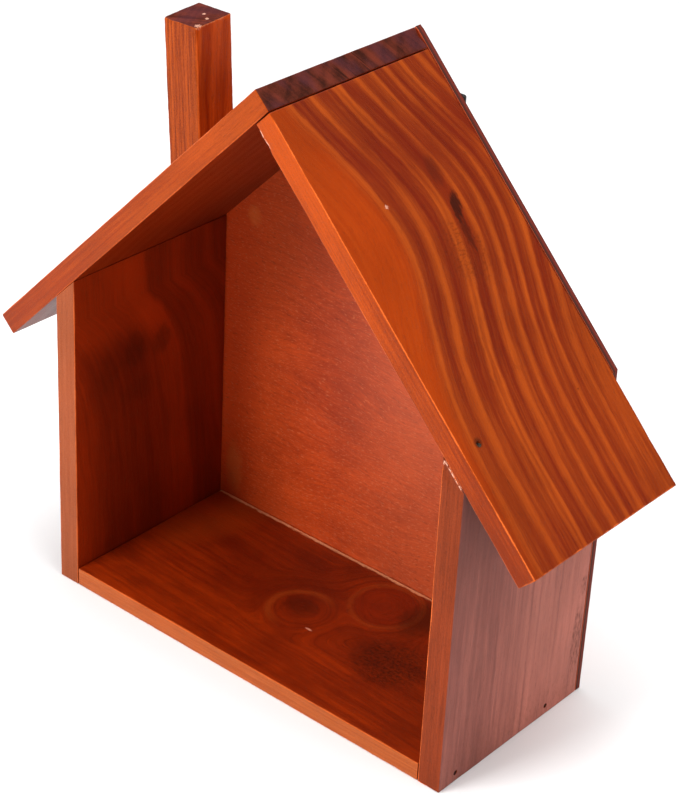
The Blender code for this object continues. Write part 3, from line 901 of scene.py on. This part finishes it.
def right_wall_marks(finish, ring, along, across, through):
    """Torn grain near the rear edge and round the foot; the inner face is as dark as the other wall's."""
    ragged = finish.noise(along * 0.35, across * 1.2, through * 0.4, 4.0, 0.7)
    marks = []
    for place, reach in (((88.0, 82.5), (7.0, 3.0)), ((112.0, 81.5), (24.0, 5.0))):
        torn = ((1.0 - oval(along, across, place, reach)).step(-0.2, 0.9) * ragged).step(0.34, 0.66)
        marks.append((torn * 0.65, "#4A1E14"))
    rough_foot = along.step(112.0, 138.0) * ragged.step(0.50, 0.64)
    dark_line = ((across - 48.5 + (ragged - 0.5) * 1.2) / 0.8) ** 2.0
    inner = upright_grain(finish, along, across, "#661604", "#942A08")
    return marks + [
        (rough_foot * 0.45, "#70402C"),
        ((1.0 - dark_line).step(0.0, 1.0) * 0.25, "#5A2C28"),
        (through.step(6.0, 2.0) * 0.92, inner),
    ]


def right_wall_rubbed_and_highlit(along, across, through):
    """Only the inner arris is bare and carries the painted highlight."""
    return through.step(8.5, 5.0)


settle(
    right_wall,
    "right_side_wall",
    stained_pine(
        "right_wall_stain",
        right_wall_corner,
        WALL_TURN,
        UP,
        right_wall_rings,
        right_wall_band,
        # pinkish face colours: the wood's tone with a painted sheen of the pale table in it
        faces=("#74403A", "#B0685A"),
        sides=("#702810", "#90391A"),
        marks=right_wall_marks,
        wear_and_highlight=1.8,
        rubbed_and_highlit=right_wall_rubbed_and_highlit,
        frayed=[(i + 0.5, 0.2, 0.95 * i, 1.1) for i in (1.2, 3.0, 4.6, 6.4, 8.2)],
        satin=0.6,
        fuzz=1.6,
        seed=4.0,
    ),
)

# ---- Floor board -----------------------------------------------------------------------------------
# A pine board cut through two knots, so its grain swirls. Its rear arris never took the stain and shows
# as a pale line along the panel.

FLOOR_AXES = (ACROSS, BACK, UP)
floor_corner, floor_size = board_box("floor_board", FLOOR_AXES)
floor_base = plane_board("floor_base", floor_corner, floor_size, FLOOR_AXES, seed=5.0)


FLOOR_KNOTS = (((107.0, 68.0), 24.0), ((84.0, 43.0), 20.0))  # place along and across, and reach


def floor_rings(finish, along, across, through):
    """Straight grain that turns round each knot."""
    ring = across + along * 0.05 + through * 0.5
    for place, reach in FLOOR_KNOTS:
        far = (oval(along, across, place, (1.0, 1.0)) + 4.0) ** 0.5
        near = far.step(reach * 1.5, reach * 0.5)
        ring = ring * (1.0 - near) + (far * 0.6 + 20.0) * near
    return ring


def floor_marks(finish, ring, along, across, through):
    """Two knots, the rough grain beside them, a nick, the bare rear arris, and painted light in the back
    left corner.
    """
    ragged = finish.noise(along * 0.3, across * 0.6, through * 0.6, 3.0, 0.65) - 0.5
    bent = finish.noise(along * 0.06, across * 0.06, 2.0, 2.0) - 0.5

    def away(*spot):
        return oval(along, across, spot[:2], spot[2:]) + bent * 0.5

    cloud = finish.noise(along * 0.035, across * 0.06, 5.0, 4.0, 0.6).step(0.40, 0.66)
    soaked = away(58.0, 52.0, 45.0, 30.0).step(1.2, 0.1)
    # painted light: the back left corner lifted out of the shade of the wall and the roof
    painted_light_back_corner = away(6.0, 84.0, 26.0, 50.0).step(1.2, 0.0)
    knot = away(108.0, 68.0, 14.5, 15.0)
    rim = (1.0 - abs(knot - 1.0) * 3.0 + ragged * 0.6).step(0.1, 0.9)
    hollow = away(124.0, 70.0, 9.0, 14.0) + ragged * 1.2
    small = away(85.0, 42.0, 13.5, 13.0)
    arc = (1.0 - abs(small - 1.0) * 2.6 + ragged * 0.5).step(0.0, 0.9)
    eye = away(83.0, 44.0, 7.5, 6.0) + ragged * 1.4
    pitted = finish.noise(along * 0.7, across * 0.9, 1.0, 3.0, 0.6).step(0.40, 0.62)
    rough = (away(134.0, 40.0, 18.0, 16.0) + ragged * 1.4).step(1.3, 0.1)
    nick = away(95.5, 34.4, 2.0, 0.6) + ragged * 2.4
    bare = (across + ragged * 2.4 + 1.0).step(83.9, 85.0) * through.step(5.6, 7.2)
    return [
        (cloud * 0.45, "#5A1204"),
        (soaked * 0.40, "#561004"),
        (painted_light_back_corner * 0.6, "#B44410"),
        ((knot + ragged * 0.3).step(1.0, 0.6) * 0.35, "#7C1A04"),
        (rim * 0.18, "#B0521E"),
        (hollow.step(1.3, 0.2) * 0.55, "#3E1404"),
        (arc * (along - across * 0.4).step(76.0, 60.0) * 0.30, "#B8501A"),
        (eye.step(1.5, 0.1) * 0.55, "#3E0C04"),
        (rough * (0.30 + pitted * 0.45), "#2E0A04"),
        (nick.step(1.1, 0.3) * 0.7, "#E09A7C"),
        (bare * 0.85, "#F0A878"),
    ]


settle(
    floor_base,
    "floor_board",
    stained_pine(
        "floor_stain",
        floor_corner,
        (0.0, 0.0, 0.0),
        ACROSS,
        floor_rings,
        even_rings(15.0, 0.12, 0.5),
        faces=("#5E1203", "#A23206"),
        sides=("#9E4418", "#BA602E"),
        marks=floor_marks,
        satin=0.38,
        seed=5.0,
    ),
)

# ---- Back panel ------------------------------------------------------------------------------------
# Three-ply sheet, sawn to the gable's outline and nailed over the rear edges of all the boards. Its face
# veneer is rotary cut, so the grain is fine, level and wavy; the sawn edges are almost black.

PANEL_AXES = (ACROSS, UP, -BACK)
panel_corner, panel_size = board_box("back_panel", PANEL_AXES)
left_line = span("back_panel", LEFT_OUT)[1]
right_line = span("back_panel", RIGHT_OUT)[1]


def trim_gable(points):
    """Lowers the top edge to the two roof slopes."""
    x = panel_corner.x + points[:, 0]
    left_top = (left_line - x * LEFT_OUT.x) / LEFT_OUT.z
    right_top = (right_line - x * RIGHT_OUT.x) / RIGHT_OUT.z
    points[:, 1] *= np.minimum(left_top, right_top) / panel_size[1]
    return points


panel = plane_board(
    "panel", panel_corner, panel_size, PANEL_AXES, ease=0.25 * MM, trim=trim_gable, seed=6.0
)


def stained_ply(name):
    finish = Finish(name)
    along, across, through = finish.board_frame(panel_corner, (math.radians(90), 0.0, 0.0))
    drift = finish.noise(along * 0.011, across * 0.03, through * 0.1, 3.0) - 0.5
    ring = across + drift * 22.0
    sheet = finish.noise(along * 0.014, ring * 0.09, 3.0, 3.0, 0.55)
    wave = finish.noise(along * 0.05, ring * 0.45, 7.0, 5.0, 0.7)
    fibre = finish.noise(along * 0.16, ring * 1.6, 1.0, 4.0, 0.7)
    pores = finish.noise(along * 0.5, ring * 2.0, 5.0, 2.0, 0.5).step(0.58, 0.70)
    dents = finish.noise(along * 0.35, ring * 1.2, 9.0, 3.0, 0.6).step(0.56, 0.70)
    blotch = finish.noise(along * 0.035, across * 0.035, 2.0, 4.0, 0.6)
    level = sheet * 0.30 + wave * 0.60 + fibre * 0.70 + (blotch - 0.5) * 0.45
    # lighter towards the left: painted light where the left wall's shade falls
    level = level + along.step(110.0, 10.0) * 0.20
    level = level - oval(along, across, (72.0, 88.0), (42.0, 48.0)).step(1.0, 0.0) * 0.16
    inside = through.step(1.0, 2.0)
    # painted light in the low left corner, against the left wall's shade
    painted_light_low_corner = along.step(24.0, 8.0) * across.step(130.0, 20.0) * inside
    marks = [
        (level.step(0.45, 1.2), "#CC4A18"),
        # pinker towards the right: a painted reflection of the pale table in the varnish
        (along.step(60.0, 125.0) * 0.22, "#D4704A"),
        # the left margin and the low left corner: painted light against the left wall's shade
        (along.step(42.0, 4.0) * inside * 0.45, "#CC3204"),
        (painted_light_low_corner * 0.6, "#F4561C"),
        (pores * 0.36, "#D07A50"),
        (dents * 0.42, "#661C06"),
    ]
    ragged = finish.noise(along * 0.2, across * 0.2, 4.0, 3.0, 0.6) - 0.5
    for place, reach in (((25.0, 144.0), (4.0, 5.0)), ((17.0, 22.0), (5.0, 14.0))):
        pale = (oval(along, across, place, reach) + ragged * 1.5).step(1.3, 0.1)
        marks.append((pale * inside * 0.55, "#D8662C"))
    sides = (1.0 - finish.facing(BACK)).step(0.3, 0.8)
    plies = (through * (math.tau / 3.1) - 0.4).sine() * 0.5 + 0.5
    sawn = finish.layer(linear("#380C08"), ((plies * 0.5 + fibre * 0.5).step(0.2, 0.9), "#6A1B12"))
    colour = finish.layer(linear("#8E2505"), *marks, (sides, sawn))
    finish.give("Base Color", colour)
    finish.give("Roughness", 0.38 + (fibre - 0.5) * 0.25 + sides * 0.5)
    finish.give("Specular IOR Level", 0.5)
    finish.give("Specular Tint", (1.0, 0.80, 0.62, 1.0))
    relief = wave * 0.6 + fibre * 0.6 - pores * 0.5
    finish.bump(relief, 0.12, 0.7)
    return finish.material


settle(panel, "back_panel", stained_ply("plywood_stain"))

# ---- Chimney ---------------------------------------------------------------------------------------
# A square-sawn strip of the same pine, its foot cut to the slope, brushed with stain before nailing. It
# leans a little to the front and to the left.

CHIMNEY_LEAN_FORWARD = math.radians(3.0)
CHIMNEY_LEAN_LEFT = math.radians(0.7)
post_turn = Euler((CHIMNEY_LEAN_FORWARD, -CHIMNEY_LEAN_LEFT, 0.0)).to_matrix()
post_x, post_y, post_z = (post_turn @ axis for axis in (ACROSS, BACK, UP))
POST_AXES = (-post_z, post_y, post_x)
post_top, post_size = board_box("chimney_post", POST_AXES)
post_foot = span("chimney_post", LEFT_OUT)[0]


def trim_foot(points):
    """Cuts the foot to the roof's slope."""
    base = np.array(post_top) + np.outer(points[:, 1], post_y) + np.outer(points[:, 2], post_x)
    reach = (base @ np.array(LEFT_OUT) - post_foot) / post_z.dot(LEFT_OUT)
    points[:, 0] *= reach / post_size[0]
    return points


chimney = plane_board(
    "chimney",
    post_top,
    post_size,
    POST_AXES,
    step=1.2 * MM,
    ease=0.9 * MM,
    trim=trim_foot,
    chips=[((0.3, 0.5, 4.0), 2.5, 0.5), ((0.5, 16.0, 15.8), 2.4, 0.6), ((3.0, 0.3, 16.0), 2.0, 0.5)],
    seed=7.0,
)


def chimney_rings(finish, along, across, through):
    return across * 0.6 + through * 1.2 + along * 0.02


def chimney_marks(finish, ring, along, across, through):
    """Pale torn fibres round the sawn top."""
    ragged = finish.noise(along * 0.5, across * 0.7, through * 0.7, 3.0, 0.6) - 0.5
    torn = ((along + ragged * 5.0).step(2.0, 0.4) * finish.edge()).step(0.5, 0.9)
    return [(torn * 0.45, "#D08A60")]


settle(
    chimney,
    "chimney_post",
    stained_pine(
        "chimney_stain",
        post_top,
        (post_turn @ Euler(WALL_TURN).to_matrix()).to_euler(),
        post_z,
        chimney_rings,
        even_rings(4.2, 0.4),
        faces=("#962C06", "#D05618"),
        sides=("#702002", "#B84E10"),
        ends=("#42140C", "#702E20"),
        marks=chimney_marks,
        figure=1.3,
        chips=[(0.1, 9.0, 13.5, 0.9), (0.1, 11.5, 9.5, 0.8), (0.3, 2.0, 15.5, 1.3)],
        satin=0.5,
        fuzz=1.5,
        seed=7.0,
    ),
)

# ---- Sawtooth hanger -------------------------------------------------------------------------------
# A bought strip of black-painted sheet steel, pressed so that its middle stands off the wood, with a row
# of teeth along the lower edge. Two black nails hold it under the ridge.

hanger_low, hanger_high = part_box("sawtooth_hanger")
HANGER_SHEET = 0.8 * MM
HANGER_STEP = 1.6 * MM
HANGER_TAB = 7.0 * MM
HANGER_TEETH = 11
TOOTH_PITCH = 2.2 * MM
TOOTH_HEIGHT = 1.8 * MM
HANGER_CLIP = 0.6 * MM
HANGER_BAND = 3.0 * MM


def press_hanger():
    """The strip as columns of points, bent at the tabs, notched below and clipped at the corners."""
    half = hanger_high.x
    teeth = [(i - HANGER_TEETH) * TOOTH_PITCH / 2 for i in range(2 * HANGER_TEETH + 1)]
    bend = half - HANGER_TAB
    corners = (half, half - HANGER_CLIP, bend, bend - HANGER_STEP)
    columns = sorted({x * side for x in corners for side in (-1, 1)} | set(teeth))
    shell = bmesh.new()
    sides = []
    for offset in (0.0, HANGER_SHEET):
        rows = []
        for x in columns:
            rise = min(1.0, max(0.0, (bend - abs(x)) / HANGER_STEP)) * HANGER_STEP
            notch = TOOTH_HEIGHT if x in teeth and teeth.index(x) % 2 else 0.0
            y = hanger_low.y + offset + rise
            clip = HANGER_CLIP if abs(x) == half else 0.0
            heights = (hanger_low.z + notch + clip, hanger_high.z - HANGER_BAND, hanger_high.z - clip)
            rows.append([shell.verts.new((x, y, z)) for z in heights])
        sides.append(rows)
    front, rear = sides
    last = len(columns) - 1
    for i in range(last):
        for k in range(2):
            shell.faces.new((front[i][k], front[i + 1][k], front[i + 1][k + 1], front[i][k + 1]))
            shell.faces.new((rear[i][k], rear[i][k + 1], rear[i + 1][k + 1], rear[i + 1][k]))
        for k in (0, 2):
            shell.faces.new((front[i][k], rear[i][k], rear[i + 1][k], front[i + 1][k]))
    for i in (0, last):
        for k in range(2):
            shell.faces.new((front[i][k], front[i][k + 1], rear[i][k + 1], rear[i][k]))
    bmesh.ops.recalc_face_normals(shell, faces=shell.faces)
    mesh = bpy.data.meshes.new("hanger")
    shell.to_mesh(mesh)
    shell.free()
    return in_scene("hanger", mesh)


def black_paint(name):
    """Stove enamel, chipped to bright steel in small spots."""
    finish = Finish(name)
    x, y, z = finish.board_frame()
    grit = finish.noise(x * 1.4, y * 1.4, z * 1.4, 3.0, 0.6)
    chipped = finish.noise(x * 0.9, y * 0.9, z * 0.9, 4.0, 0.7).step(0.66, 0.70)
    dust = finish.noise(x * 0.2, y * 0.2, z * 0.2, 3.0, 0.6)
    paint = finish.layer(linear("#151415"), (dust.step(0.35, 0.8), "#2A2729"))
    finish.give("Base Color", finish.layer(paint, (chipped, "#8A8480")))
    finish.give("Metallic", chipped)
    finish.give("Roughness", 0.42 + (grit - 0.5) * 0.3)
    finish.bump(grit - chipped * 0.6, 0.08, 0.6)
    return finish.material


BLACK_PAINT = black_paint("black_hanger_paint")
hanger = press_hanger()
soften = hanger.modifiers.new("rolled_edges", "BEVEL")
soften.width = 0.12 * MM
soften.segments = 2
soften.limit_method = "ANGLE"
hanger = drill(hanger, (hanger_bores,))
settle(hanger, "sawtooth_hanger", BLACK_PAINT)

hanger_pair = drive_nails("hanger_nails", hanger_nails, HANGER_NAIL_HEAD, BLACK_PAINT)
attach(hanger_pair, "root")
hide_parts(*hanger_nails)

# ---- Brads -----------------------------------------------------------------------------------------
# Plain steel brads, driven and punched just under the wood: long ones through the walls, the roof and
# the ridge, shorter ones up into the chimney and through the panel.


def brad_steel(name):
    finish = Finish(name)
    x, y, z = finish.board_frame()
    tarnish = finish.noise(x * 1.1, y * 1.1, z * 1.1, 3.0, 0.6)
    drawn = finish.noise(x * 3.0, y * 3.0, z * 3.0, 2.0, 0.5)
    colour = finish.layer(linear("#2E2824"), (tarnish.step(0.35, 0.7), "#5E5348"))
    finish.give("Base Color", colour)
    finish.give("Metallic", 1.0)
    finish.give("Roughness", 0.38 + (tarnish - 0.5) * 0.3)
    finish.bump(drawn, 0.03, 0.5)
    return finish.material


BRAD_STEEL = brad_steel("brad_steel_wire")
brad_groups = {"long_brads": long_brads, "chimney_brads": chimney_brads, "panel_brads": panel_brads}
for name, group in brad_groups.items():
    brads = drive_nails(name, group, BRAD_HEAD, BRAD_STEEL)
    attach(brads, "root")
    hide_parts(*group)

for cutter in bores:
    bpy.data.objects.remove(cutter)

shown_low, shown_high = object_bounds()
sizes = {"cad": [list(cad_low), list(cad_high)], "shown": [list(shown_low), list(shown_high)]}
